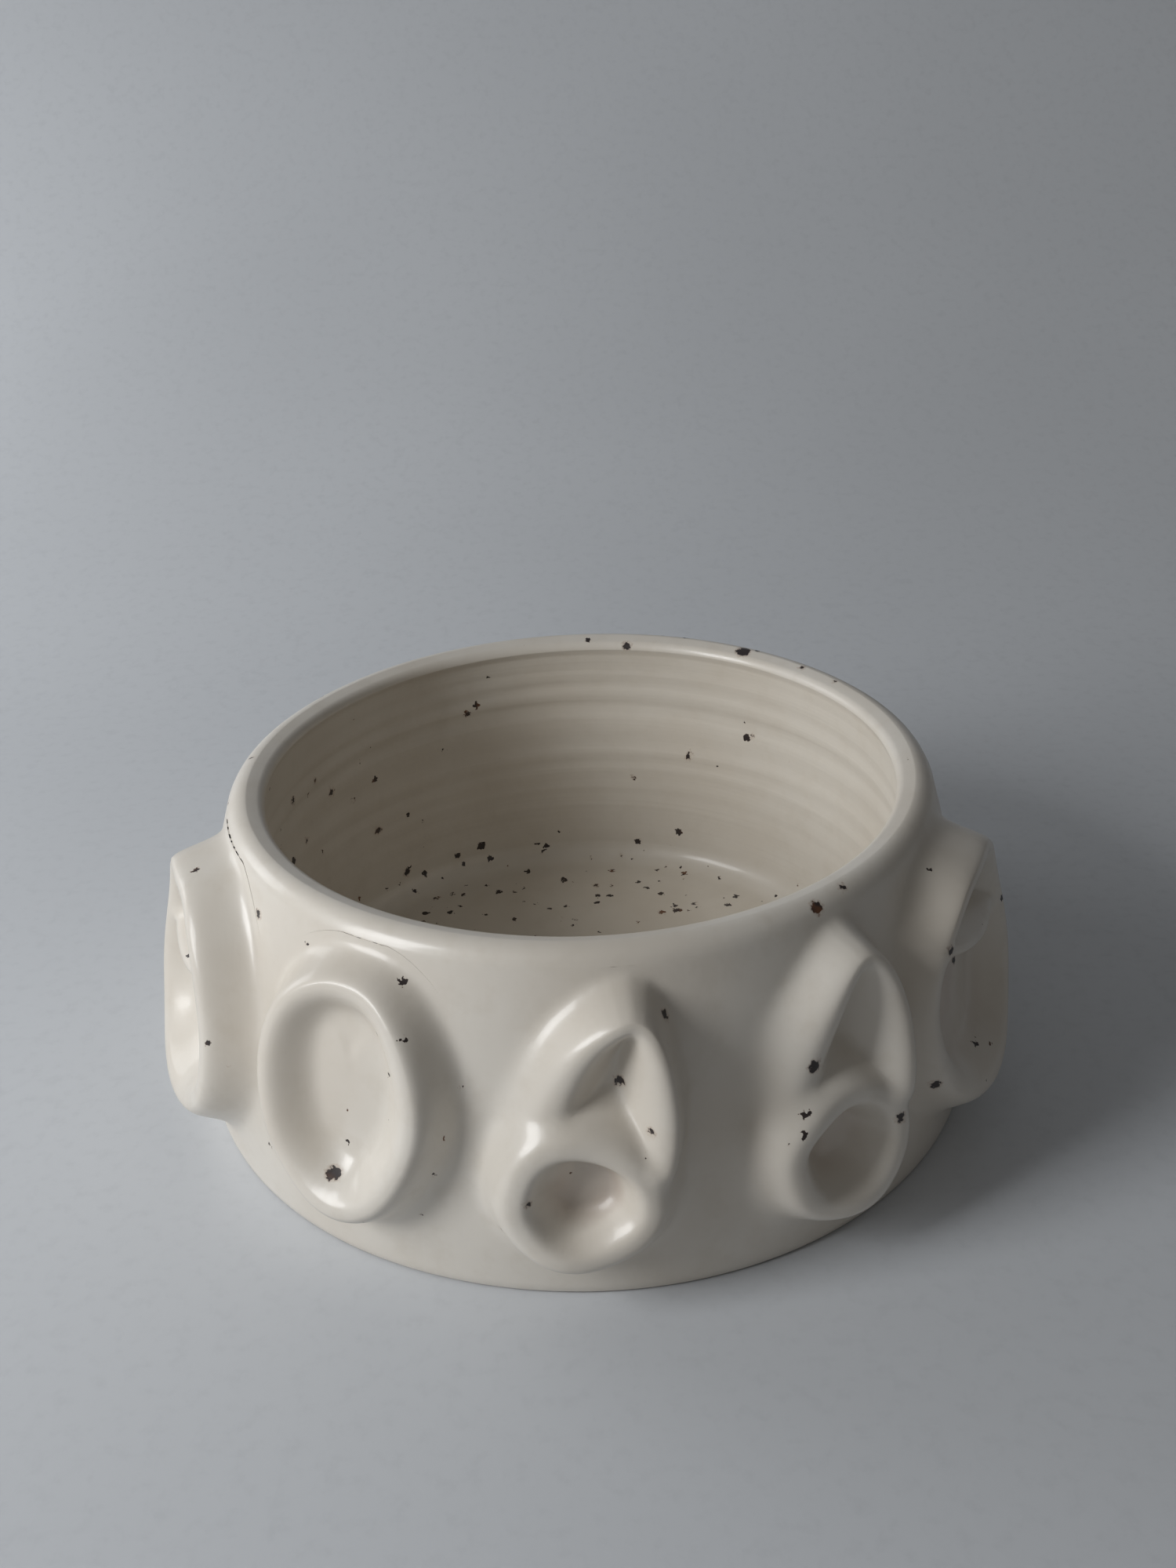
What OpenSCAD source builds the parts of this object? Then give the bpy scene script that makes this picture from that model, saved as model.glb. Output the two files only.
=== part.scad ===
// A low wheel-thrown stoneware bowl with a band of coil-built relief around its wall.
// Each relief figure is made of clay coils that stand on the wall: a ring, an arch, a drop, a pod
// or a bridge. Every coil is a piece of its own: its back lies on the wall, and the ends of an arch
// or of a bridge are pressed into the coil that they meet.
// Origin: centre of the underside. +Z is up and -Y is the front. Millimetres.

/* [Bowl] */
// Outer diameter of the lip
lip_d = 150; // [130:1:165]
// Height from the table to the top of the lip
bowl_h = 69; // [67:1:72]
// Outer diameter of the wall just above the table
base_d = 171; // [168:1:180]
// Width of the lip, from its outer side to its inner edge
lip_w = 7.8; // [6:0.1:9]
// Height of the inner floor above the table
floor_z = 7; // [5.5:0.5:9]
// Depth of the hollow inside the foot ring
foot_recess = 1.6; // [0.8:0.1:2.4]

/* [Relief] */
// How far the coils stand out from the wall near the table
relief_h = 9.0; // [6:0.1:10]
// Share of the wall's lean that the coils make up for, so that their outer faces stand upright
upright = 0.15; // [0:0.05:0.5]
// Width of a coil's foot on the outer side of its crest
outer_foot = 7.5; // [5:0.5:8]
// Width of a coil's foot on the inner side of its crest
inner_foot = 6.4; // [4:0.2:7]

/* [Hidden] */
$fn = 96;

glaze = [0.80, 0.78, 0.73];
bare_clay = [0.70, 0.66, 0.60];

lip_r = lip_d / 2;
base_r = base_d / 2;
neck_z = bowl_h - 3;      // where the wall meets the lip
swell_z = 11;             // where the wall is widest
foot_bevel = 1.2;         // bevel between the foot ring and the wall
foot_ring_w = 9;          // width of the ring that the bowl stands on
lip_round = 4.2;          // radius of the lip's outer side
lip_lean = 16;            // lean of the wall where the lip starts
edge_round = 2.2;         // radius of the lip's inner edge
edge_drop = 0.5;          // how far the inner edge lies under the lip's top
inner_r = lip_r - lip_w;  // radius inside the lip's inner edge
belly = 1.8;              // how far the inner wall swells out under the lip
corner_r = 6;             // radius between the inner wall and the floor

// ---- the wall's outline ----

// The wall's outer radius at height z: a slow swell from the base, drawn in to the neck.
function wall_r(z) =
    z < swell_z ? base_r - 0.5 * pow((swell_z - z) / swell_z, 2)
                : base_r - (base_r - lip_r) * pow((z - swell_z) / (neck_z - swell_z), 1.55);

// The inner wall's radius at height z: a shallow belly between the lip and the floor.
function inside_r(z) =
    inner_r + belly * sin(180 * pow((bowl_h - z) / bowl_h, 0.75));

function arc(cx, cy, r, from, to, n) =
    [for (i = [0:n]) let (a = from + (to - from) * i / n) [cx + r * cos(a), cy + r * sin(a)]];

wall_steps = 22;
inside_steps = 14;
lip_z = bowl_h - lip_round + lip_round * sin(lip_lean);
lip_x = wall_r(lip_z) - lip_round * cos(lip_lean);
edge_z = bowl_h - edge_drop - edge_round;
corner_z = floor_z + corner_r;
corner_x = inside_r(corner_z) - corner_r;

bowl_outline = concat(
    [[0, foot_recess], [base_r - foot_ring_w - 2 * foot_recess, foot_recess], [base_r - foot_ring_w, 0],
     [base_r - 0.5 - foot_bevel, 0]],
    [for (i = [0:wall_steps]) let (z = foot_bevel + (lip_z - foot_bevel) * i / wall_steps) [wall_r(z), z]],
    arc(lip_x, bowl_h - lip_round, lip_round, lip_lean + 8, 93, 8),
    arc(inner_r + edge_round, edge_z, edge_round, 104, 180, 6),
    [for (i = [1:inside_steps]) let (z = edge_z - (edge_z - corner_z) * i / inside_steps) [inside_r(z), z]],
    arc(corner_x, corner_z, corner_r, -15, -90, 6),
    [[0, floor_z - 0.4]]
);

module thrown_bowl() {
    color(glaze) rotate_extrude() polygon(bowl_outline);
}

// ---- the coils ----

// A point of the wall: u runs round it in millimetres from the figure's middle line, at the radius
// map_r, and v is the height. h is how far the point stands out from the wall.
map_r = 82;
function on_wall(angle, u, v, h) =
    let (a = angle + u / map_r * 180 / PI, r = wall_r(v) + h) [r * sin(a), -r * cos(a), v];

// The section of a coil, from its outer foot over the crest to its inner foot, as shares of the
// feet's widths and of the height. The last points lie on the wall, under the coil.
section = [[1, 0], [0.66, 0.26], [0.38, 0.68], [0.1, 0.96], [-0.2, 0.98], [-0.5, 0.74],
           [-0.78, 0.3], [-1, 0], [-0.3, 0], [0.45, 0]];

// Sweeps the section along a path of [u, v, height, outer foot, inner foot] on the wall. The path
// runs clockwise as seen from outside, so that a loop's outer side is on its left.
module coil(angle, path, closed) {
    n = len(path);
    m = len(section);
    step = function (i, d) closed ? (i + d + n) % n : max(0, min(n - 1, i + d));
    side = function (i)
        let (a = path[step(i, -1)], b = path[step(i, 1)], d = [b[0] - a[0], b[1] - a[1]])
        [-d[1], d[0]] / norm(d);
    points = [for (i = [0:n - 1], s = section)
        let (p = path[i], w = s[0] > 0 ? p[3] * s[0] : p[4] * s[0], q = side(i) * w)
        on_wall(angle, p[0] + q[0], p[1] + q[1], p[2] * s[1])];
    rings = closed ? n : n - 1;
    sides = [for (i = [0:rings - 1], j = [0:m - 1])
        let (k = (i + 1) % n, l = (j + 1) % m) [i * m + j, i * m + l, k * m + l, k * m + j]];
    ends = closed ? [] : [[for (j = [m - 1:-1:0]) j], [for (j = [0:m - 1]) (n - 1) * m + j]];
    color(glaze) polyhedron(points, concat(sides, ends), convexity = 6);
}

// An egg-shaped loop that leans to one side, from its bottom round the left to the top and back.
// egg = [u, v, width, height, taper, lean, blunt]; turn is 0 at the bottom and 180 at the top.
function egg_point(egg, turn) =
    let (rise = -cos(turn) * egg[3] / 2, top = (1 - cos(turn)) / 2,
         side = sign(sin(turn)) * pow(abs(sin(turn)), 1 - egg[6] * top))
    [egg[0] + egg[5] * rise - side * egg[2] / 2 * (1 + egg[4] * cos(turn)), egg[1] + rise];

// The egg's path with the coil's height and feet at each point. A coil thins out towards the top,
// and an open one also towards its two ends. left is the share of the height on the left side.
function egg_path(egg, from, to, n, high = 1, thin = 0.08, last = 0, left = 1) =
    [for (i = [0:n - 1 + last])
        let (turn = from + (to - from) * i / n, p = egg_point(egg, turn), top = (1 - cos(turn)) / 2,
             full = last == 0 ? 1 : min(1, 0.55 + 0.15 * min(i, n - i)),
             low = 1 - (1 - left) * pow(max(0, sin(turn)), 2),
             h = relief_h * high * low * (1 - thin * top) + upright * (base_r - wall_r(p[1])))
        [p[0], p[1], h * (0.4 + 0.6 * full),
         outer_foot * (1 - 0.35 * top) * full, inner_foot * (1 - 0.2 * top) * full]];

loop_n = 34;
arch_n = 24;
bridge_n = 8;

module loop_coil(angle, egg, high = 1, thin = 0.08, left = 1) {
    coil(angle, egg_path(egg, 0, 360, loop_n, high, thin, left = left), true);
}

module arch_coil(angle, egg, reach, high = 0.9) {
    coil(angle, egg_path(egg, reach, 360 - reach, arch_n, high, last = 1), false);
}

// A short coil from one side of a pod to the other, sagging a little in the middle.
module bridge_coil(angle, from, to, high = 0.75) {
    path = [for (i = [0:bridge_n]) let (t = i / bridge_n, p = from + (to - from) * t)
        [p[0], p[1] - 2 * sin(180 * t), relief_h * high, outer_foot * 0.6, inner_foot * 0.7]];
    coil(angle, path, false);
}

// ---- the figures ----
// Each stands at its own angle round the wall, from the front towards +X.

// Pods: one blunt loop with a bridge across it.
// [angle, egg, bridge from, bridge to, share of the height on the left side]
pods = [
    [-69, [0, 37, 39, 48, 0.12, -0.08, 0.4], [-17, 44], [16, 46], 1],
    [65, [0, 37.5, 45, 47, 0.06, 0.05, 0.4], [-19, 52], [18, 42], 0.6],
    [179, [0, 37.5, 39, 47, 0.06, 0.04, 0.4], [-17, 42], [16, 46], 1]
];

// Drops: one tall loop that is lower at its top. [angle, egg]
drops = [
    [-31.3, [0, 39, 31.5, 42.5, -0.06, -0.03, 0.1]],
    [220, [0, 39, 31, 43, 0.12, 0.05, 0]]
];

// Buds: a round ring low down, with an arch that rises from its shoulders and leans to one side.
// [angle, ring egg, arch egg, turn at which the arch leaves the ring]
buds = [
    [1, [-2.8, 26.5, 23.5, 23.5, 0, 0, 0], [1.2, 37.5, 21.5, 46, 0.2, 0.22, 0], 80],
    [33, [-2, 25.5, 23.5, 23.5, 0, 0, 0], [1.4, 37.5, 21.5, 46.5, 0.2, 0.2, 0], 80],
    [138, [2.8, 26, 23.5, 23.5, 0, 0, 0], [-1, 37.5, 21.5, 45, 0.2, -0.22, 0], 80]
];

module pod(i) { loop_coil(pods[i][0], pods[i][1], left = pods[i][4]); }
module bridge(i) { bridge_coil(pods[i][0], pods[i][2], pods[i][3]); }
module drop(i) { loop_coil(drops[i][0], drops[i][1], thin = 0.4); }
module ring(i) { loop_coil(buds[i][0], buds[i][1]); }
module arch(i) { arch_coil(buds[i][0], buds[i][2], buds[i][3]); }

thrown_bowl();
for (i = [0:len(pods) - 1]) {
    pod(i);
    bridge(i);
}
for (i = [0:len(drops) - 1]) {
    drop(i);
}
for (i = [0:len(buds) - 1]) {
    ring(i);
    arch(i);
}
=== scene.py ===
"""Looks for a low wheel-thrown stoneware bowl with a band of coil-built relief round its wall.

The thrown bowl and every clay coil are pieces of their own. All of them follow one height field
over the wall, so that the coils run into the wall and into each other without a seam. Where two
pieces overlap, the lower one dips a little under the other. Shapes are worked out in millimetres
and turned into metres when a mesh is made.
"""

import math

import bpy
import numpy as np
from mathutils import Matrix, Vector


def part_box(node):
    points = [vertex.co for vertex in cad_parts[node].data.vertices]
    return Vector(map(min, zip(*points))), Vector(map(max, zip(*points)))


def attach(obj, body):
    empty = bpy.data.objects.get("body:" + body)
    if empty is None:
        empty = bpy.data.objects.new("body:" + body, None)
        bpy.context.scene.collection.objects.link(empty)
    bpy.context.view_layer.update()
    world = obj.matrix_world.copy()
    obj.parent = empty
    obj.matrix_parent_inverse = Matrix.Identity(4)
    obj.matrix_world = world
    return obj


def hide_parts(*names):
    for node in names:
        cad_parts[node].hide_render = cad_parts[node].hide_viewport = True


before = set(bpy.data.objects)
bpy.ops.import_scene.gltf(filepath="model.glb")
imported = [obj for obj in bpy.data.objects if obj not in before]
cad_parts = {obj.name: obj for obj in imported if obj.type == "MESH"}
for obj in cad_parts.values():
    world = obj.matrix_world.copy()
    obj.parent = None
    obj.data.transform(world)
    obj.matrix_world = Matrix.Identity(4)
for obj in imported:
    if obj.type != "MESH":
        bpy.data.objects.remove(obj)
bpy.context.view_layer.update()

MM = 0.001
TAU = 2 * math.pi

# ---------------------------------------------------------------------------
# Driving sizes, in millimetres. They match the CAD part.
# ---------------------------------------------------------------------------
bowl_low, bowl_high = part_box("thrown_bowl")
BOWL_H = bowl_high.z / MM          # height of the lip's top
BASE_R = bowl_high.x / MM          # outer radius of the wall just above the table
LIP_R = BASE_R - 10.5              # outer radius of the lip
LIP_W = 7.8                        # width of the lip
FLOOR_Z = 7.0                      # height of the inner floor
SWELL_Z = 11.0                     # height where the wall is widest
NECK_Z = BOWL_H - 3.0              # height where the wall meets the lip
LIP_ROUND = 4.2                    # radius of the lip's outer side
LIP_LEAN = 16.0                    # lean of the wall where the lip starts, in degrees
EDGE_ROUND = 2.2                   # radius of the lip's inner edge
BEVEL_DROP = 0.5                   # how far the inner edge lies under the lip's top
INNER_R = LIP_R - LIP_W            # radius at the lip's inner edge
BELLY = 1.8                        # how far the inner wall swells out below the lip
CORNER_R = 6.0                     # radius between inner wall and floor
FOOT_RING_W = 9.0                  # width of the ring that the bowl stands on
FOOT_RECESS = 1.6                  # depth of the hollow inside the foot ring
FOOT_BEVEL = 1.2                   # rounding at the bottom of the wall
MAP_R = 82.0                       # radius at which the figures are laid out

# ---------------------------------------------------------------------------
# The wall's shape
# ---------------------------------------------------------------------------


def smooth_max(a, b, soft):
    """The larger of a and b, rounded off where they are within soft of each other."""
    return np.maximum(a, b) + np.maximum(soft - np.abs(a - b), 0) ** 2 / (4 * soft)


def wall_r(z):
    """Outer radius of the bare wall at height z: a slow swell that is drawn in to the neck."""
    z = np.asarray(z, float)
    up = np.clip((z - SWELL_Z) / (NECK_Z - SWELL_Z), 0, 1.2)
    slope = BASE_R - (BASE_R - LIP_R) * up ** 1.55
    low = BASE_R - 0.5 * (np.clip(SWELL_Z - z, 0, None) / SWELL_Z) ** 2
    return np.where(z < SWELL_Z, low, slope)


def inside_r(z):
    """Radius of the inner wall at height z, without its throwing rings."""
    return INNER_R + BELLY * np.sin(math.pi * np.clip((BOWL_H - z) / BOWL_H, 0, 1) ** 0.75)


def hand_wobble(theta, z):
    """How far a hand-thrown wall strays from round, the same through its whole thickness."""
    drift = 0.5 * np.clip((z - 30) / 38, 0, 1) * np.cos(theta - math.radians(130))
    return (0.22 * np.sin(2 * theta + 0.8) + 0.12 * np.sin(3 * theta - 1.1 + z * 0.03)
            + 0.05 * np.sin(7 * theta + z * 0.11) + drift)


def lip_lift(theta, z):
    """How far the bowl's upper part lies above or below its true height: no lip is quite level."""
    lift = 0.18 * np.sin(2 * theta + 2.0) + 0.6 * np.cos(theta - math.radians(140))
    return lift * np.clip((z - 40) / 28, 0, 1)


def throwing_rings(theta, z):
    """Grooves that the fingers left inside, one long spiral, deeper in the upper half."""
    turn = z / 6.3 + theta / TAU
    depth = 0.05 + 0.15 * np.exp(-((z - 48) / 13.0) ** 2) * (1 + 0.5 * np.sin(z * 0.37 + 1))
    wave = np.sin(TAU * turn + 0.9 * np.sin(theta * 2 + z * 0.2) + 1.3 * np.sin(z * 0.21))
    fine = 0.4 * np.sin(TAU * (z / 2.3 + theta / TAU * 2) + 1.7 * np.sin(3 * theta))
    return depth * (wave + fine)


# ---------------------------------------------------------------------------
# The relief. A coil's crest follows an egg-shaped loop, or a short open curve, over the wall.
# u runs round the wall in millimetres from the figure's middle line, v is the height.
# Four-value tuples hold for the loop's bottom, left side, top and right side.
# ---------------------------------------------------------------------------
CREST = 9.0            # how far a crest stands out from the wall near the table
UPRIGHT = 0.15         # share of the wall's lean that the crests make up for
BELL = 2.3             # exponent of a ridge's bell-shaped outer flank
INNER_BELL = 2.6       # the same for its inner flank
FADE = 0.01            # share of the height where a ridge's toe ends
PATH_N = 360           # points along a loop's crest
HOLLOW_SHADE = 0.25       # painted shade: how much darker and warmer the glaze is drawn in most hollows and inside the bowl, up to 1
coils = []


def by_side(values, turn):
    """Blends (bottom, left, top, right) values smoothly round a loop."""
    total = 0
    for i, value in enumerate(values):
        total = total + value * np.clip(np.cos(turn - i * math.pi / 2), 0, None) ** 2
    return total


def add_loop(name, angle, egg, high, outer, inner, seed=0.0, fade=None, flat=0.3, fill=0.0,
             shade_tint=HOLLOW_SHADE):
    """A closed coil. egg = (u, v, width, height, taper, lean, blunt). Below the heights in fade
    it sinks into the coil that it stands on. flat is how far the crest runs level inward, fill
    is the height of the hollow's floor as a share of the crest's, and tint the hollow's painted shade."""
    turn = np.linspace(0, TAU, 1441)
    u0, v0, width, height, taper, lean, blunt = egg
    rise = -np.cos(turn) * height / 2
    top = (1 - np.cos(turn)) / 2
    side = np.sign(np.sin(turn)) * np.abs(np.sin(turn)) ** (1 - blunt * top)
    half = side * width / 2 * (1 + taper * np.cos(turn))
    stray = 0.35 * np.sin(3 * turn + seed) + 0.2 * np.sin(5 * turn + 2.1 * seed)
    u = u0 + lean * rise - half - stray * np.sin(turn)
    v = v0 + rise - stray * np.cos(turn) * 0.6
    # space the points evenly along the crest
    gone = np.concatenate([[0], np.cumsum(np.hypot(np.diff(u), np.diff(v)))])
    even = np.arange(PATH_N) * gone[-1] / PATH_N
    turn, u, v = (np.interp(even, gone, values) for values in (turn, u, v))
    uneven = 1 + 0.035 * np.sin(2 * turn + seed * 1.7) + 0.02 * np.sin(5 * turn + seed)
    crest = CREST * by_side(high, turn) * uneven + UPRIGHT * (BASE_R - wall_r(v))
    if fade:
        t = np.clip((v - fade[0]) / (fade[1] - fade[0]), 0, 1)
        crest = crest * (0.1 + 0.9 * t * t * (3 - 2 * t))
    coils.append(dict(name=name, angle=math.radians(angle), egg=egg, closed=True, u=u, v=v,
                      flat=flat, fill=fill, shade_tint=shade_tint, high=crest,
                      outer=by_side(outer, turn), inner=by_side(inner, turn)))


def add_bridge(name, angle, start, end, sag=2.0, high=0.78, spread=3.4):
    """An open coil across a pod, from start to end, each (u, v)."""
    t = np.linspace(0, 1, PATH_N // 3)
    v = start[1] + (end[1] - start[1]) * t - sag * np.sin(math.pi * t)
    level = np.ones_like(t)
    coils.append(dict(name=name, angle=math.radians(angle), closed=False,
                      u=start[0] + (end[0] - start[0]) * t, v=v,
                      high=CREST * high + 0.5 * UPRIGHT * (BASE_R - wall_r(v)),
                      outer=spread * level, inner=spread * level))


def reach(coil):
    """Distance from the crest to the outer toe, along the path."""
    return coil["outer"] * (-math.log(FADE)) ** (1 / BELL)


def coil_field(coil, theta, z):
    """The coil's own height over the wall, and the margin to its toe: negative outside it."""
    u = ((theta - coil["angle"] + math.pi) % TAU - math.pi) * MAP_R
    height = np.full(u.shape, -FADE * CREST)
    margin = np.full(u.shape, -20.0)
    far = reach(coil).max() + 4
    near = ((u > coil["u"].min() - far) & (u < coil["u"].max() + far)
            & (z > coil["v"].min() - far) & (z < coil["v"].max() + far))
    if not near.any():
        return height, margin
    pu, pz = u[near], z[near]
    best = np.empty(pu.shape, int)
    dist = np.empty(pu.shape)
    for a in range(0, pu.size, 20000):
        s = slice(a, a + 20000)
        d2 = (pu[s, None] - coil["u"]) ** 2 + (pz[s, None] - coil["v"]) ** 2
        best[s] = d2.argmin(1)
        dist[s] = np.sqrt(d2.min(1))
    if coil["closed"]:
        # the side of the crest: across the path at its nearest point
        ahead = (best + 1) % PATH_N
        behind = (best - 1) % PATH_N
        du, dv = coil["u"][ahead] - coil["u"][behind], coil["v"][ahead] - coil["v"][behind]
        across = (pu - coil["u"][best]) * -dv + (pz - coil["v"][best]) * du
        inside = across < 0
    else:
        inside = np.zeros(pu.shape, bool)
    spread = np.where(inside, coil["inner"][best], coil["outer"][best])
    bell = np.exp(-(dist / spread) ** BELL)
    if coil["closed"]:
        deep = np.maximum(dist - coil["flat"], 0)
        fill = coil["fill"]
        bell = np.where(inside, fill + (1 - fill) * np.exp(-(deep / spread) ** INNER_BELL), bell)
    height[near] = coil["high"][best] * (bell - FADE) / (1 - FADE)
    margin[near] = np.where(inside, dist, reach(coil)[best] - dist)
    return height, margin


JOIN_SOFT = 2.6        # how softly two coils run into each other
TOE_SOFT = 0.2         # how softly a toe runs into the wall
GLAZE_SOFT = 0.65      # how far the glaze evens out creases
UNDERCUT = 0.5         # how fast a covered piece dips under the one that covers it
MAX_DIP = 1.5
MAP_STEP = 0.4         # spacing of the height map


def ridges(theta, z):
    """Height of all coils together over the wall, before the glaze evens out their joints."""
    total = np.full(theta.shape, -FADE * CREST)
    for coil in coils:
        height, _ = coil_field(coil, theta, z)
        total = smooth_max(total, height, JOIN_SOFT * np.clip((height + total) / 6, 0.03, 1))
    return 0.5 * (total + np.sqrt(total ** 2 + TOE_SOFT ** 2))


def make_height_map():
    """The relief's height under its glaze, on a grid of rows up the wall and columns round it."""
    cols, rows = round(TAU * MAP_R / MAP_STEP), int(BOWL_H / MAP_STEP) + 2
    theta, z = np.meshgrid(np.arange(cols) * TAU / cols, np.arange(rows) * MAP_STEP)
    height = ridges(theta, z)
    half = int(3 * GLAZE_SOFT / MAP_STEP)
    share = np.exp(-0.5 * (np.arange(-half, half + 1) * MAP_STEP / GLAZE_SOFT) ** 2)
    share = share / share.sum()
    height = sum(w * np.roll(height, i - half, 1) for i, w in enumerate(share))
    tall = np.pad(height, ((half, half), (0, 0)), mode="edge")
    return sum(w * tall[i:i + rows] for i, w in enumerate(share))


def from_map(theta, z):
    """The height map's value at any place, blended between its grid points."""
    rows, cols = height_map.shape
    x = (theta / TAU * cols) % cols
    y = np.clip(z / MAP_STEP, 0, rows - 1.001)
    i, j = y.astype(int), x.astype(int) % cols
    fy, fx = y - i, x - np.floor(x)
    k = (j + 1) % cols
    low = height_map[i, j] * (1 - fx) + height_map[i, k] * fx
    high = height_map[i + 1, j] * (1 - fx) + height_map[i + 1, k] * fx
    return low * (1 - fy) + high * fy


def relief(theta, z, own=None):
    """Height of the whole relief over the wall, and how far the piece `own` dips under it.
    own is a coil's place in the list, or None for the bowl itself."""
    lead = np.zeros(theta.shape)            # the bowl's own claim to the surface
    mine = np.zeros(theta.shape)
    for i, coil in enumerate(coils):
        own_height, margin = coil_field(coil, theta, z)
        claim = own_height + 0.05 * margin
        lead = np.maximum(lead, claim)
        if i == own:
            mine = claim
    return from_map(theta, z), np.minimum(UNDERCUT * (lead - mine), MAX_DIP)


# The figures: round craters with a leaning arch over them, tall drops, and pods with two hollows.
def bud(i, angle, ring, arch, lean_side, seed):
    """A crater low on the wall and an arch that leans over it. lean_side is 1 for the right."""
    steep = (4.4, 6.0, 2.3, 2.6) if lean_side > 0 else (4.4, 2.6, 2.3, 6.0)
    high = (0.4, 0.5, 0.8, 1.0) if lean_side > 0 else (0.4, 1.0, 0.8, 0.5)
    # the crater's hollow gets the full painted shade
    add_loop(f"bud_ring_{i}", angle, ring, (0.95, 0.88, 0.78, 0.88),
             (4.2, 5.0, 4.4, 4.6), (3.6, 3.8, 3.8, 3.6), seed, flat=1.4, shade_tint=1.0)
    add_loop(f"bud_arch_{i}", angle, arch, high, steep, (6.0, 5.0, 4.4, 6.0), seed + 1, (21, 33))


def pod(i, angle, egg, start, end, seed, left=1.0, shade_tint=HOLLOW_SHADE):
    """A tall blunt loop with a bridge across it. left is the share of the height on its left."""
    add_loop(f"pod_coil_{i}", angle, egg, (0.98, left, 1.0, 1.0),
             (4.4, 4.0, 2.4, 4.6), (5.4, 5.0, 4.4, 5.0), seed, flat=0.6, fill=0.1, shade_tint=shade_tint)
    add_bridge(f"pod_bridge_{i}", angle, start, end)


def drop(i, angle, egg, seed):
    """One tall loop that is lower at its top."""
    add_loop(f"drop_coil_{i}", angle, egg, (0.98, 0.95, 0.5, 0.95),
             (4.4, 5.2, 2.4, 3.8), (5.2, 4.6, 4.8, 5.0), seed, fill=0.22)


pod(1, -69, (0, 37, 39, 48, 0.12, -0.08, 0.4), (-17, 44), (16, 46), 0.4)
# pod 2 lies on the shaded side and gets the full painted shade in its hollows
pod(2, 65, (0, 37.5, 45, 47, 0.06, 0.05, 0.4), (-19, 52), (18, 42), 2.2, left=0.6, shade_tint=1.0)
pod(3, 179, (0, 37.5, 39, 47, 0.06, 0.04, 0.4), (-17, 42), (16, 46), 3.9)
drop(1, -31.3, (0, 39, 31.5, 42.5, -0.06, -0.03, 0.1), 1.3)
drop(2, 220, (0, 39, 31, 43, 0.12, 0.05, 0), 4.4)
bud(1, 1, (-2.8, 26.5, 23.5, 23.5, 0, 0, 0), (1.2, 37.5, 21.5, 46, 0.2, 0.22, 0), 1, 0.2)
bud(2, 33, (-2, 25.5, 23.5, 23.5, 0, 0, 0), (1.4, 37.5, 21.5, 46.5, 0.2, 0.2, 0), 1, 1.9)
bud(3, 138, (2.8, 26, 23.5, 23.5, 0, 0, 0), (-1.0, 37.5, 21.5, 45, 0.2, -0.22, 0), -1, 3.3)

height_map = make_height_map()

# ---------------------------------------------------------------------------
# Meshes
# ---------------------------------------------------------------------------


def around(theta, r, z):
    """Points at angle theta from the front towards +X, in millimetres."""
    return np.stack([r * np.sin(theta), -r * np.cos(theta), z], -1)


def grid_normals(points, wrap_cols):
    """Unit normals of a grid of points: the cross product of its two directions."""
    rows = np.gradient(points, axis=0)
    if wrap_cols:
        cols = (np.roll(points, -1, 1) - np.roll(points, 1, 1)) / 2
    else:
        cols = np.gradient(points, axis=1)
    n = np.cross(cols, rows)
    length = np.linalg.norm(n, axis=-1, keepdims=True)
    return n / np.maximum(length, 1e-12)


def make_piece(name, points, faces, normals, attributes):
    """A smooth mesh object with its own vertex normals. points are in millimetres."""
    mesh = bpy.data.meshes.new(name)
    mesh.from_pydata((points * MM).tolist(), [], faces)
    mesh.polygons.foreach_set("use_smooth", [True] * len(mesh.polygons))
    for key, values in attributes.items():
        layer = mesh.attributes.new(key, "FLOAT", "POINT")
        layer.data.foreach_set("value", np.asarray(values, np.float32))
    mesh.update()
    mesh.normals_split_custom_set_from_vertices(normals.tolist())
    piece = bpy.data.objects.new(name, mesh)
    bpy.context.scene.collection.objects.link(piece)
    return piece


def grid_faces(rows, cols, wrap, start=0, flip=False):
    """Quads of a grid whose vertices are numbered row by row from start."""
    faces = []
    for i in range(rows - 1):
        for j in range(cols if wrap else cols - 1):
            k = (j + 1) % cols
            a, b = start + i * cols + j, start + i * cols + k
            c, d = start + (i + 1) * cols + k, start + (i + 1) * cols + j
            faces.append((d, c, b, a) if flip else (a, b, c, d))
    return faces


BOWL_COLS = 640        # columns round the bowl
# how dense the small specks are on the wall, the inner wall, the floor and the inner wall's left
WALL_SPECK, INSIDE_SPECK, FLOOR_SPECK, LEFT_SPECK = 0.06, 0.04, 0.90, 0.3


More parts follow.
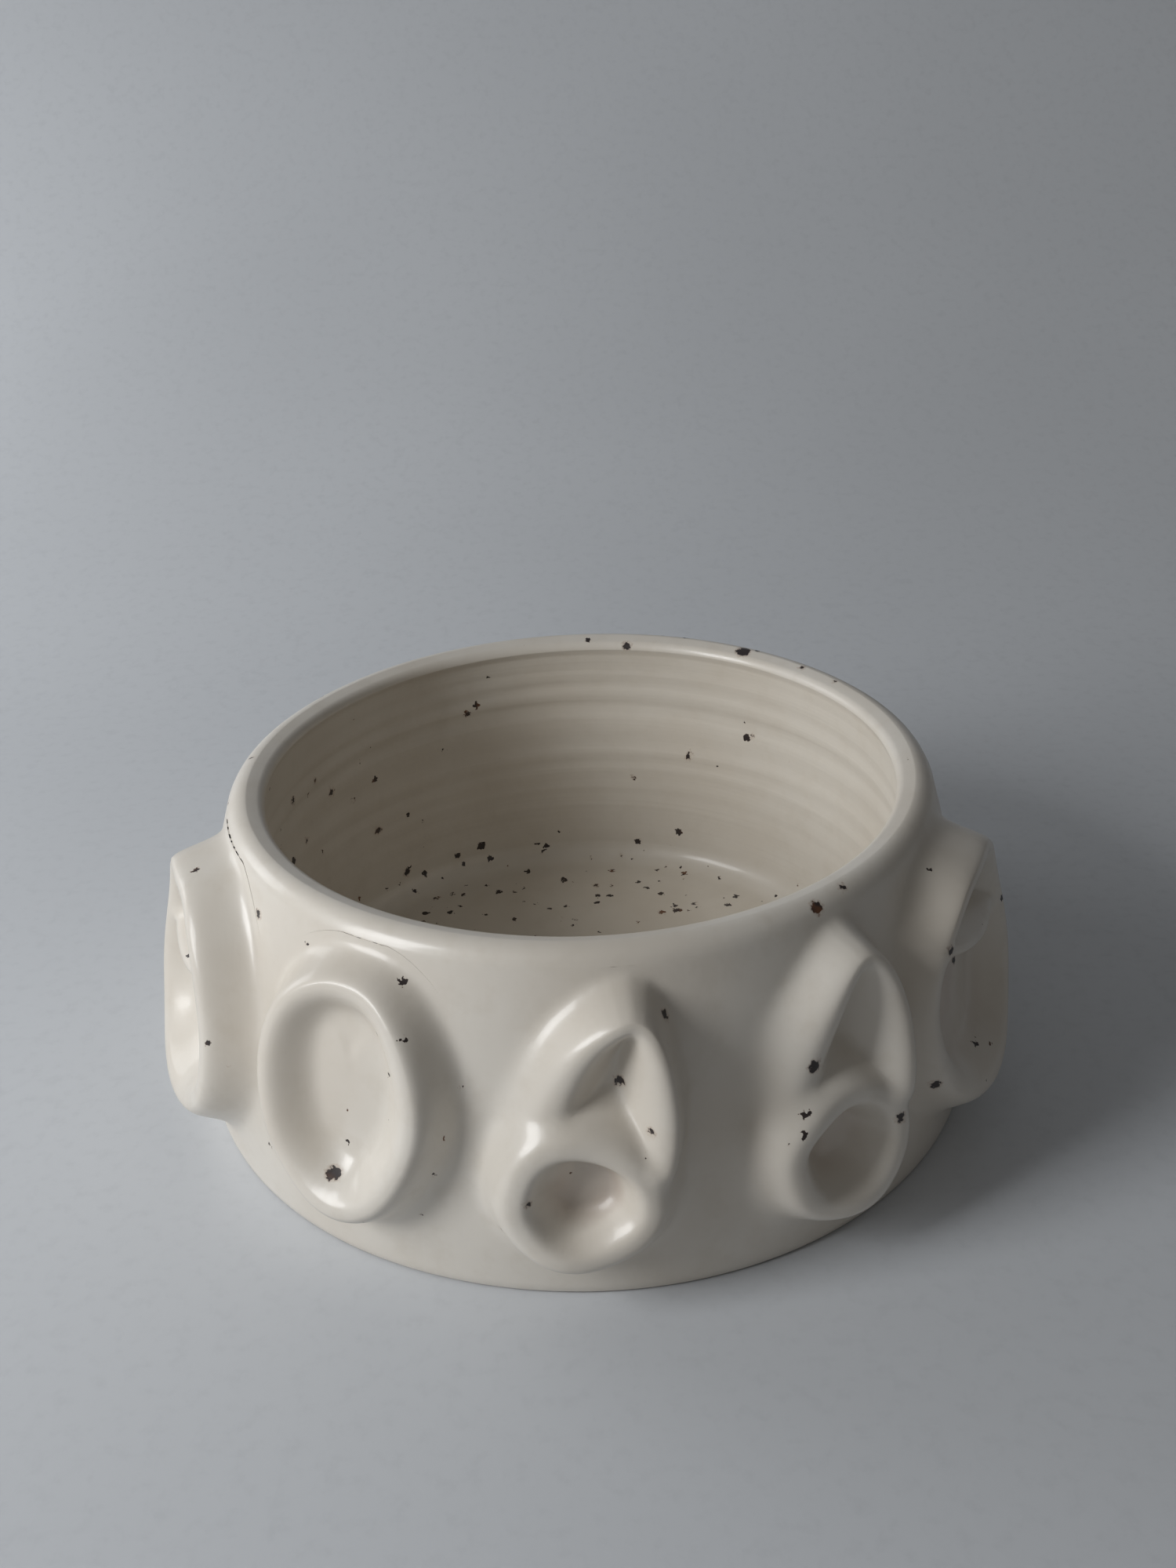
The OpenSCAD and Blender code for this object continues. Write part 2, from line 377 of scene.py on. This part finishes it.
def bowl_rows():
    """The bowl's outline from the middle of the underside, round the lip, to the middle of the
    floor, as (radius, height, share of relief, share of throwing rings) rows."""
    rows = []

    def add(r, z, face=0.0, ring=0.0):
        rows.append((float(r), float(z), face, ring))

    foot_in, foot_out = BASE_R - FOOT_RING_W, BASE_R - 0.5 - FOOT_BEVEL
    for r in np.linspace(0.5, foot_in - 3.4, 12):
        add(r, FOOT_RECESS)
    for t in np.linspace(0, 1, 7):
        add(foot_in - 3 + 3 * t, FOOT_RECESS * (1 - t * t * (3 - 2 * t)))
    for r in np.linspace(foot_in + 0.6, foot_out - 0.5, 6):
        add(r, 0)
    for t in np.linspace(0, math.pi / 2, 6):
        add(foot_out + FOOT_BEVEL * math.sin(t), FOOT_BEVEL * (1 - math.cos(t)))
    lean = math.radians(LIP_LEAN)
    cz = BOWL_H - LIP_ROUND
    lip_z = cz + LIP_ROUND * math.sin(lean)
    cx = wall_r(lip_z) - LIP_ROUND * math.cos(lean)
    for z in np.linspace(FOOT_BEVEL + 0.6, lip_z, 76):
        add(wall_r(z), z, 1.0)
    for t in np.linspace(lean + 0.12, math.radians(93), 14):
        add(cx + LIP_ROUND * math.cos(t), cz + LIP_ROUND * math.sin(t))
    ex, ez = INNER_R + EDGE_ROUND, BOWL_H - BEVEL_DROP - EDGE_ROUND
    for t in np.radians(np.linspace(104, 180, 11)):
        add(ex + EDGE_ROUND * math.cos(t), ez + EDGE_ROUND * math.sin(t))
    bottom = FLOOR_Z + CORNER_R
    for z in np.linspace(ez - 0.8, bottom, 52):
        add(inside_r(z), z, 0, min(1.0, (ez - z) / 6))
    kx = inside_r(bottom) - CORNER_R
    for t in np.radians(np.linspace(-9, -88, 10)):
        add(kx + CORNER_R * math.cos(t), bottom + CORNER_R * math.sin(t), 0, 0.15)
    for r in np.linspace(kx - 1.5, 0.5, 34):
        add(r, FLOOR_Z - 0.5 * (1 - (r / kx) ** 2) + 0.06 * math.sin(r * 1.1))
    return np.array(rows)


def build_bowl():
    """The thrown bowl: its outline turned round the axis, raised to the relief on the wall."""
    rows = bowl_rows()
    theta = np.tile(np.arange(BOWL_COLS) * TAU / BOWL_COLS, (len(rows), 1))
    r = np.tile(rows[:, 0:1], (1, BOWL_COLS))
    z = np.tile(rows[:, 1:2], (1, BOWL_COLS))
    face, ring = rows[:, 2:3], rows[:, 3:4]
    height, dip = relief(theta, z)
    radial = np.clip(r / 30, 0, 1) * hand_wobble(theta, z)
    r = r + radial + face * height + ring * throwing_rings(theta, z)
    z = z + lip_lift(theta, z)
    normals = grid_normals(around(theta, r, z), True)
    points = around(theta, r - face * dip, z)
    n = len(rows)
    faces = grid_faces(n, BOWL_COLS, True)
    under, floor = n * BOWL_COLS, n * BOWL_COLS + 1     # the two middle points
    for j in range(BOWL_COLS):
        k = (j + 1) % BOWL_COLS
        faces.append((under, k, j))
        faces.append((floor, (n - 1) * BOWL_COLS + j, (n - 1) * BOWL_COLS + k))
    points = np.concatenate([points.reshape(-1, 3),
                             [[0, 0, FOOT_RECESS], [0, 0, FLOOR_Z - 0.5]]])
    normals = np.concatenate([normals.reshape(-1, 3), [[0, 0, -1], [0, 0, 1]]])
    # share of specks: many on the floor and low on the left inner wall, few elsewhere
    outline = np.arange(n)[:, None]
    first_inner = int(np.argmax(rows[:, 3] > 0))
    is_inner = outline >= first_inner
    foot_in = BASE_R - FOOT_RING_W
    on_floor = np.clip((16 - z) / 7, 0, 1)
    left = np.clip(np.cos(theta + math.radians(95)) * 1.5 - 0.2, 0, 1) * np.clip((62 - z) / 20, 0, 1)
    inner_specks = INSIDE_SPECK + FLOOR_SPECK * on_floor + LEFT_SPECK * left * (1 - on_floor)
    specks = np.where(is_inner, inner_specks, WALL_SPECK)
    bare = np.where((z < 0.3) & ~is_inner | (r < foot_in) & (z < FLOOR_Z - 1), 1.0, 0.0)
    inner = is_inner * np.ones_like(theta)
    # the inside of the bowl carries a weak share of the hollows' painted shade
    return make_piece("thrown_bowl_body", points, faces, normals, {
        "specks": np.append(specks.ravel(), [0.0, 0.8]),
        "hollow": np.append((HOLLOW_SHADE * inner).ravel(), [0.0, HOLLOW_SHADE]),
        "bare": np.append(bare.ravel(), [1.0, 0.0]),
        "inner": np.append(inner.ravel(), [0.0, 1.0])})


LOOP_COLS = 150        # columns round a loop
IN_ROWS = 22           # rows from a loop's middle to its crest
OUT_ROWS = 20          # rows from its crest to past its toe
BRIDGE_ROWS = 25       # rows across a bridge
TOP_LIMIT = BOWL_H - LIP_ROUND + 0.9   # height where every loop's piece ends
TOE_SPARE = 1.5        # how far a coil's piece goes on past its toe
BACK_DEPTH = 2.2       # how deep a coil's back lies in the wall
COIL_SPECKS = 0.10     # how dense the small specks are on the coils


def build_loop(index):
    """A closed piece that carries a loop's ridge and the hollow inside it."""
    coil = coils[index]
    pick = np.arange(LOOP_COLS) * PATH_N // LOOP_COLS
    step = PATH_N // LOOP_COLS * 2      # the crest's direction is taken over this many points
    cu, cv = coil["u"], coil["v"]
    du = np.roll(cu, -step) - np.roll(cu, step)
    dv = np.roll(cv, -step) - np.roll(cv, step)
    length = np.hypot(du, dv)
    edge = reach(coil) + TOE_SPARE
    bu, bv = cu - dv / length * edge, cv + du / length * edge
    mid = (cu.mean(), cv.mean())
    share_in = np.linspace(0.04, 1, IN_ROWS)[:, None]
    share_out = np.linspace(0, 1, OUT_ROWS + 1)[1:, None]
    u = np.concatenate([mid[0] + (cu[pick] - mid[0]) * share_in, cu[pick] + (bu - cu)[pick] * share_out])
    v = np.concatenate([mid[1] + (cv[pick] - mid[1]) * share_in, cv[pick] + (bv - cv)[pick] * share_out])
    v = np.clip(v, FOOT_BEVEL + 1, TOP_LIMIT)
    u = np.concatenate([np.full((1, LOOP_COLS), mid[0]), u])
    v = np.concatenate([np.full((1, LOOP_COLS), mid[1]), v])
    theta = coil["angle"] + u / MAP_R
    height, dip = relief(theta, v, index)
    bare_r = wall_r(v) + hand_wobble(theta, v)
    smooth = around(theta, bare_r + height, v)
    top = around(theta, bare_r + height - dip, v)
    back = around(theta, bare_r - BACK_DEPTH, v)
    normals = grid_normals(smooth[1:], True)
    normals = np.concatenate([normals[0:1].mean(1, keepdims=True).repeat(LOOP_COLS, 1), normals])
    outward = around(theta, np.ones_like(v), np.zeros_like(v))
    if (normals * outward).sum() < 0:
        normals = -normals
    return close_piece(coil, top[1:], back[1:], normals[1:], theta[1:], v[1:], height[1:],
                       True, top[0, 0], back[0, 0], normals[0, 0])


def build_bridge(index):
    """A closed piece that carries a bridge's ridge."""
    coil = coils[index]
    cu, cv = coil["u"][::3], coil["v"][::3]
    du, dv = np.gradient(cu), np.gradient(cv)
    length = np.hypot(du, dv)
    side = np.linspace(-1, 1, BRIDGE_ROWS)[:, None] * (reach(coil).max() + TOE_SPARE)
    u = cu - dv / length * side
    v = cv + du / length * side
    theta = coil["angle"] + u / MAP_R
    height, dip = relief(theta, v, index)
    bare_r = wall_r(v) + hand_wobble(theta, v)
    normals = grid_normals(around(theta, bare_r + height, v), False)
    outward = around(theta, np.ones_like(v), np.zeros_like(v))
    if (normals * outward).sum() < 0:
        normals = -normals
    return close_piece(coil, around(theta, bare_r + height - dip, v),
                       around(theta, bare_r - BACK_DEPTH, v), normals, theta, v, height, False)


def close_piece(coil, top, back, normals, theta, v, height, wrap,
                top_pole=None, back_pole=None, pole_normal=None):
    """Joins a top grid and a back grid into one closed mesh. wrap is for a loop's grids, whose
    columns run all the way round and whose middle is closed by a pole on each side."""
    rows, cols = top.shape[:2]
    count = rows * cols
    faces = grid_faces(rows, cols, wrap) + grid_faces(rows, cols, wrap, count, True)
    points = np.concatenate([top.reshape(-1, 3), back.reshape(-1, 3)])
    flat = around(theta, -np.ones_like(v), np.zeros_like(v)).reshape(-1, 3)
    vertex_normals = np.concatenate([normals.reshape(-1, 3), flat])
    border = [(rows - 1) * cols + j for j in range(cols)]
    if wrap:
        for j in range(cols):
            a, b = border[j], border[(j + 1) % cols]
            faces.append((b, a, a + count, b + count))
        points = np.concatenate([points, [top_pole, back_pole]])
        vertex_normals = np.concatenate([vertex_normals, [pole_normal, -pole_normal]])
        for j in range(cols):
            k = (j + 1) % cols
            faces.append((2 * count, k, j))
            faces.append((2 * count + 1, count + j, count + k))
    else:
        ring = ([j for j in range(cols)] + [i * cols + cols - 1 for i in range(1, rows)]
                + [(rows - 1) * cols + j for j in range(cols - 2, -1, -1)]
                + [i * cols for i in range(rows - 2, 0, -1)])
        for a, b in zip(ring, ring[1:] + ring[:1]):
            faces.append((b, a, a + count, b + count))
    # turn the faces so that the top looks outward
    a, b, c = (points[i] for i in faces[0][:3])
    outward = around(theta[0, 0], 1.0, 0.0)
    if np.dot(np.cross(b - a, c - a), outward) < 0:
        faces = [f[::-1] for f in faces]
    hollow = hollow_shade_share(theta, v, height)
    poles = [hollow.flat[0], 0] if wrap else []
    zero = np.zeros(len(points))
    return make_piece(coil["name"] + "_clay", points, faces, vertex_normals, {
        "specks": zero + COIL_SPECKS, "bare": zero, "inner": zero,
        "hollow": np.concatenate([hollow.ravel(), np.zeros(count), poles])})


def hollow_shade_share(theta, z, height):
    """How much painted shade darkens and warms the glaze at a point: a loop's shade at its hollow's
    floor, stronger where the relief is low, 0 outside its crest.
    """
    deepest = np.zeros(theta.shape)
    for other in coils:
        if not other["closed"]:
            continue
        u = ((theta - other["angle"] + math.pi) % TAU - math.pi) * MAP_R
        egg = other["egg"]
        rise = (z - egg[1]) / (egg[3] / 2)
        half = egg[2] / 2 * np.sqrt(np.clip(1 - rise ** 2, 0, None)) * (1 - egg[4] * rise)
        off = np.abs(u - egg[0] - egg[5] * (z - egg[1]))
        inside = np.clip((half - off) / 5.0, 0, 1)
        deepest = np.maximum(deepest, other["shade_tint"] * inside * np.clip((6.5 - height) / 5.5, 0, 1))
    return deepest


# ---------------------------------------------------------------------------
# Materials
# ---------------------------------------------------------------------------


class Tree:
    """A short way to write a material's nodes."""

    def __init__(self, name):
        self.material = bpy.data.materials.new(name)
        self.material.use_nodes = True
        self.nodes = self.material.node_tree.nodes
        self.links = self.material.node_tree.links
        self.nodes.clear()

    def put(self, socket, value):
        if isinstance(value, bpy.types.NodeSocket):
            self.links.new(value, socket)
        else:
            socket.default_value = value

    def add(self, kind, settings=None, **inputs):
        node = self.nodes.new(kind)
        for key, value in (settings or {}).items():
            setattr(node, key, value)
        for key, value in inputs.items():
            self.put(node.inputs[key.replace("_", " ")], value)
        return node

    def math(self, operation, a, b=0.0, c=0.0, clamp=False):
        node = self.nodes.new("ShaderNodeMath")
        node.operation, node.use_clamp = operation, clamp
        for socket, value in zip(node.inputs, (a, b, c)):
            self.put(socket, value)
        return node.outputs[0]

    def vector(self, operation, a, b=(0, 0, 0)):
        node = self.nodes.new("ShaderNodeVectorMath")
        node.operation = operation
        self.put(node.inputs[0], a)
        self.put(node.inputs[1], b)
        return node.outputs["Value"] if operation in ("DISTANCE", "LENGTH") else node.outputs[0]

    def remap(self, value, low, high, to_low=0.0, to_high=1.0):
        node = self.nodes.new("ShaderNodeMapRange")
        node.interpolation_type = "SMOOTHSTEP"
        for socket, v in zip(node.inputs, (value, low, high, to_low, to_high)):
            self.put(socket, v)
        return node.outputs[0]

    def mix(self, share, a, b):
        node = self.nodes.new("ShaderNodeMix")
        node.data_type = "RGBA"
        self.put(node.inputs[0], share)
        self.put(node.inputs[6], a)
        self.put(node.inputs[7], b)
        return node.outputs[2]

    def noise(self, vector, scale, detail=3.0, roughness=0.5):
        node = self.add("ShaderNodeTexNoise", Vector=vector, Scale=scale, Detail=detail,
                        Roughness=roughness)
        return node.outputs[0]

    def attribute(self, name):
        node = self.nodes.new("ShaderNodeAttribute")
        node.attribute_name = name
        return node.outputs["Fac"]


def rgb(r, g, b):
    """A colour given as the eye sees it, 0 to 255, as the shader's linear one."""
    def linear(c):
        c = c / 255
        return c / 12.92 if c <= 0.04045 else ((c + 0.055) / 1.055) ** 2.4
    return (linear(r), linear(g), linear(b), 1.0)


RAGGED = 0.0022        # how far noise pushes a speck's outline about, in metres
# Small specks: (a cell's size in millimetres, smallest and largest radius as shares of the cell,
# share of the cells that hold one where specks lie densest)
SPECK_SIZES = [(3.2, 0.10, 0.29, 0.45), (7.0, 0.07, 0.17, 0.6), (14.0, 0.035, 0.07, 0.5)]


def glaze_material():
    """Cream satin glaze with iron specks, painted shade in the hollows and inside the bowl, and bare
    clay where the mesh says so.
    """
    t = Tree("speckled_glaze")
    place = t.add("ShaderNodeTexCoord").outputs["Object"]
    hollow, bare, inner = t.attribute("hollow"), t.attribute("bare"), t.attribute("inner")
    density = t.attribute("specks")

    # cream glaze, with painted shade: a little warmer and darker inside the bowl and in the hollows
    cloud = t.noise(place, 26, 3)
    mottle = t.noise(place, 160, 4, 0.6)
    base = t.mix(t.remap(cloud, 0.35, 0.68), rgb(219, 213, 203), rgb(211, 203, 191))
    base = t.mix(t.remap(mottle, 0.45, 0.75, 0, 0.35), base, rgb(203, 194, 180))
    # painted shade and warm bounce light: the inside of the bowl is drawn darker and warmer
    base = t.mix(t.math("MULTIPLY", inner, 0.30), base, rgb(205, 196, 181))
    # painted shade in the hollows: the glaze drawn darker and warmer there, broken up by noise
    painted_shade = t.math("MULTIPLY", t.remap(hollow, 0.35, 1.0),
                   t.remap(t.noise(place, 70, 2), 0.35, 0.65, 0.12, 0.5))
    base = t.mix(painted_shade, base, rgb(196, 178, 164))

    # iron specks in three sizes: each cell of a random pattern has one or none
    ragged = t.add("ShaderNodeTexNoise", Vector=place, Scale=1100.0, Detail=2.0).outputs["Color"]
    bent = t.vector("ADD", place, t.vector("MULTIPLY", t.vector("SUBTRACT", ragged, (0.5, 0.5, 0.5)),
                                           (RAGGED, RAGGED, RAGGED)))
    total, halo = None, None
    for cell_mm, small, large, share in SPECK_SIZES:
        voronoi = t.add("ShaderNodeTexVoronoi", Vector=bent, Scale=1000 / cell_mm)
        split = t.add("ShaderNodeSeparateColor", Color=voronoi.outputs["Color"])
        there = t.math("LESS_THAN", split.outputs[0], t.math("MULTIPLY", density, share))
        size = t.remap(split.outputs[1], 0.0, 1.0, small, large)
        spot = t.math("SUBTRACT", size, voronoi.outputs["Distance"])
        core = t.math("MULTIPLY", there, t.remap(spot, -0.006, 0.012))
        ring = t.math("MULTIPLY", there, t.remap(spot, -0.035, 0.0))
        total = core if total is None else t.math("MAXIMUM", total, core)
        halo = ring if halo is None else t.math("MAXIMUM", halo, ring)
    for centre, size in big_specks():
        away = t.vector("DISTANCE", bent, centre)
        spot = t.math("SUBTRACT", size * MM, away)
        total = t.math("MAXIMUM", total, t.remap(spot, -0.00012, 0.00018))
        halo = t.math("MAXIMUM", halo, t.remap(spot, -0.0007, 0.0))
    rust = t.mix(t.remap(t.noise(place, 320, 1), 0.42, 0.62), rgb(46, 34, 30), rgb(104, 66, 40))
    speck_colour = t.mix(t.remap(t.noise(place, 90, 0), 0.56, 0.66), rgb(40, 30, 28), rust)
    coloured = t.mix(t.math("MULTIPLY", halo, 0.30), base, rgb(150, 112, 80))
    coloured = t.mix(total, coloured, speck_colour)

    # bare clay on the foot
    clay = t.mix(t.remap(t.noise(place, 500, 4), 0.4, 0.62), rgb(176, 160, 140), rgb(150, 132, 112))
    coloured = t.mix(bare, coloured, clay)

    # surface: faint orange peel, and fine wheel lines that run round the bowl
    peel = t.noise(place, 420, 2)
    lines = t.noise(t.vector("MULTIPLY", place, (9, 9, 620)), 1.0, 2)
    lines_share = t.math("MULTIPLY", t.math("ADD", t.math("MULTIPLY", inner, 0.8), 0.12), lines)
    relief_height = t.math("ADD", t.math("MULTIPLY", peel, 0.35), lines_share)
    relief_height = t.math("ADD", relief_height, t.math("MULTIPLY", total, -0.5))
    relief_height = t.math("ADD", relief_height,
                           t.math("MULTIPLY", t.math("MULTIPLY", bare, t.noise(place, 1500, 3)), 1.5))
    bump = t.add("ShaderNodeBump", Height=relief_height, Strength=0.5, Distance=0.00022)
    rough = t.remap(t.noise(place, 55, 2), 0.3, 0.7, 0.35, 0.47)
    rough = t.math("ADD", rough, t.math("MULTIPLY", bare, 0.5), clamp=True)
    rough = t.math("ADD", rough, t.math("MULTIPLY", total, 0.15), clamp=True)
    shader = t.add("ShaderNodeBsdfPrincipled", Base_Color=coloured, Roughness=rough,
                   Normal=bump.outputs[0])
    shader.inputs["Coat Weight"].default_value = 0.30
    shader.inputs["Coat Roughness"].default_value = 0.14
    shader.inputs["Coat IOR"].default_value = 1.5
    shader.inputs["IOR"].default_value = 1.5
    out = t.add("ShaderNodeOutputMaterial")
    t.links.new(shader.outputs[0], out.inputs[0])
    return t.material


# Single large specks as (angle from the front, height, radius) on the wall and the inner wall, and
# as (angle, distance from the middle, radius) on the lip.
WALL_SPECKS = [(-32, 23, 1.4), (4, 46, 0.9), (49, 25, 1.0), (39, 28, 1.0), (38, 13, 1.0),
               (28, 44, 1.1), (10, 58, 0.9), (-7, 27, 0.5), (7, 40, 0.6), (65, 38, 0.8),
               (53, 52, 0.8), (-55, 60, 0.8), (-27, 52, 0.5), (155, 40, 1.1), (196, 18, 0.9),
               (262, 50, 1.0), (110, 58, 0.7)]
INNER_SPECKS = [(156, 38, 0.7), (141, 48, 0.5), (-120, 46, 0.8), (-110, 39, 0.6), (-115, 52, 0.6),
                (-106, 52, 0.8), (-132, 29, 0.9), (-138, 14, 1.0), (20, 35, 0.8), (-40, 24, 0.7),
                (70, 50, 0.6)]
LIP_SPECKS = [(144, 70, 1.8), (169, 67.5, 1.0), (130, 70.5, 0.6), (-97, 72.5, 0.5), (35, 74, 1.2),
              (41, 73, 0.6), (121, 70.5, 0.4)]


def big_specks():
    """Centres of the single large specks, on the glaze's surface in metres, and their radii."""
    spots = []
    for angle, z, size in WALL_SPECKS:
        theta = math.radians(angle)
        out, _ = relief(np.array([theta]), np.array([float(z)]))
        r = wall_r(z) + hand_wobble(theta, z) + out[0]
        spots.append((around(theta, r, z) * MM, size))
    for angle, z, size in INNER_SPECKS:
        spots.append((around(math.radians(angle), float(inside_r(z)), float(z)) * MM, size))
    outline = bowl_rows()
    lip = outline[outline[:, 1] > BOWL_H - 3][::-1]
    for angle, r, size in LIP_SPECKS:
        theta, z = math.radians(angle), np.interp(r, lip[:, 0], lip[:, 1])
        place = around(theta, r + hand_wobble(theta, z), z + lip_lift(theta, z))
        spots.append((place * MM, size))
    return [(tuple(float(c) for c in centre), size) for centre, size in spots]


def paper_material():
    """Pale matt paper with faint fibres."""
    t = Tree("backdrop_paper")
    place = t.add("ShaderNodeTexCoord").outputs["Object"]
    fibres = t.noise(place, 260, 3, 0.6)
    broad = t.noise(place, 3, 2)
    base = t.mix(t.remap(broad, 0.3, 0.7), rgb(212, 215, 219), rgb(205, 208, 212))
    base = t.mix(t.remap(fibres, 0.45, 0.8, 0, 0.35), base, rgb(192, 195, 199))
    bump = t.add("ShaderNodeBump", Height=fibres, Strength=0.15, Distance=0.0002)
    shader = t.add("ShaderNodeBsdfPrincipled", Base_Color=base, Normal=bump.outputs[0])
    shader.inputs["Roughness"].default_value = 0.8
    shader.inputs["Specular IOR Level"].default_value = 0.2
    out = t.add("ShaderNodeOutputMaterial")
    t.links.new(shader.outputs[0], out.inputs[0])
    return t.material


# ---------------------------------------------------------------------------
# Pieces
# ---------------------------------------------------------------------------
glaze = glaze_material()

bowl = build_bowl()
bowl.data.materials.append(glaze)
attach(bowl, "root")
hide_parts("thrown_bowl")

for index, coil in enumerate(coils):
    piece = build_loop(index) if coil["closed"] else build_bridge(index)
    piece.data.materials.append(glaze)
    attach(piece, "root")
    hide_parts(coil["name"])

# ---------------------------------------------------------------------------
# Stage: one sheet of pale paper that sweeps up behind the bowl
# ---------------------------------------------------------------------------
SWEEP_Y, SWEEP_R, SWEEP_TOP = 0.17, 0.5, 2.6
profile = [(-2.2, 0.0), (0.0, 0.0), (SWEEP_Y, 0.0)]
profile += [(SWEEP_Y + SWEEP_R * math.sin(a), SWEEP_R * (1 - math.cos(a)))
            for a in np.radians(np.linspace(4, 90, 22))]
profile += [(SWEEP_Y + SWEEP_R, SWEEP_TOP)]
mesh = bpy.data.meshes.new("backdrop")
verts = [(x, y, z) for y, z in profile for x in (-3.0, 3.0)]
mesh.from_pydata(verts, [], [(2 * i, 2 * i + 1, 2 * i + 3, 2 * i + 2) for i in range(len(profile) - 1)])
mesh.polygons.foreach_set("use_smooth", [True] * len(mesh.polygons))
backdrop = bpy.data.objects.new("backdrop", mesh)
bpy.context.scene.collection.objects.link(backdrop)
backdrop.data.materials.append(paper_material())

# ---------------------------------------------------------------------------
# Light: a large soft window on the left, a weak one behind it, and a dim warm surround that is
# brighter towards the window
# ---------------------------------------------------------------------------


def area_light(name, place, target, size, power, colour):
    """A rectangular lamp at place that faces target. size in metres, power in watts."""
    data = bpy.data.lights.new(name, "AREA")
    data.shape, data.size, data.size_y = "RECTANGLE", size[0], size[1]
    data.energy, data.color = power, colour
    light = bpy.data.objects.new(name, data)
    light.location = place
    light.rotation_euler = (Vector(target) - Vector(place)).to_track_quat("-Z", "Y").to_euler()
    bpy.context.scene.collection.objects.link(light)


area_light("window", (-0.66, -0.35, 0.42), (0, 0.0, 0.02), (0.32, 0.42), 4.6, (0.97, 0.985, 1.0))
area_light("side_window", (-0.62, 0.26, 0.26), (-0.1, 0.22, 0.0), (0.3, 0.3), 0.9, (0.95, 0.975, 1.0))

world = bpy.data.worlds.new("surround")
world.use_nodes = True
nodes, links = world.node_tree.nodes, world.node_tree.links
toward = nodes.new("ShaderNodeVectorMath")
toward.operation = "DOT_PRODUCT"
toward.inputs[1].default_value = (-0.75, -0.35, 0.56)
links.new(nodes.new("ShaderNodeTexCoord").outputs["Generated"], toward.inputs[0])
strength = nodes.new("ShaderNodeMapRange")
for socket, value in zip(strength.inputs[1:5], (-0.7, 1.0, 0.045, 0.18)):
    socket.default_value = value
links.new(toward.outputs["Value"], strength.inputs[0])
nodes["Background"].inputs[0].default_value = (1.0, 0.985, 0.96, 1)
links.new(strength.outputs[0], nodes["Background"].inputs[1])
bpy.context.scene.world = world
bpy.context.scene.view_settings.view_transform = "Standard"

# ---------------------------------------------------------------------------
# Camera
# ---------------------------------------------------------------------------
CAMERA_PLACE = (0.0020, -0.3049, 0.2178)
CAMERA_PITCH = 0.469               # radians below the horizon
CAMERA_ROLL = -0.035               # radians
LENS, SENSOR_W = 36.35, 36.0
ahead = Vector((0, math.cos(CAMERA_PITCH), -math.sin(CAMERA_PITCH)))
level = Vector((1, 0, 0))
over = level.cross(ahead)
right = level * math.cos(CAMERA_ROLL) + over * math.sin(CAMERA_ROLL)
up = -level * math.sin(CAMERA_ROLL) + over * math.cos(CAMERA_ROLL)
camera_data = bpy.data.cameras.new("camera")
camera_data.lens, camera_data.sensor_width = LENS, SENSOR_W
camera_data.clip_start = 0.01
camera = bpy.data.objects.new("camera", camera_data)
camera.matrix_world = Matrix((
    (right.x, up.x, -ahead.x, CAMERA_PLACE[0]),
    (right.y, up.y, -ahead.y, CAMERA_PLACE[1]),
    (right.z, up.z, -ahead.z, CAMERA_PLACE[2]),
    (0, 0, 0, 1)))
bpy.context.scene.collection.objects.link(camera)
bpy.context.scene.camera = camera
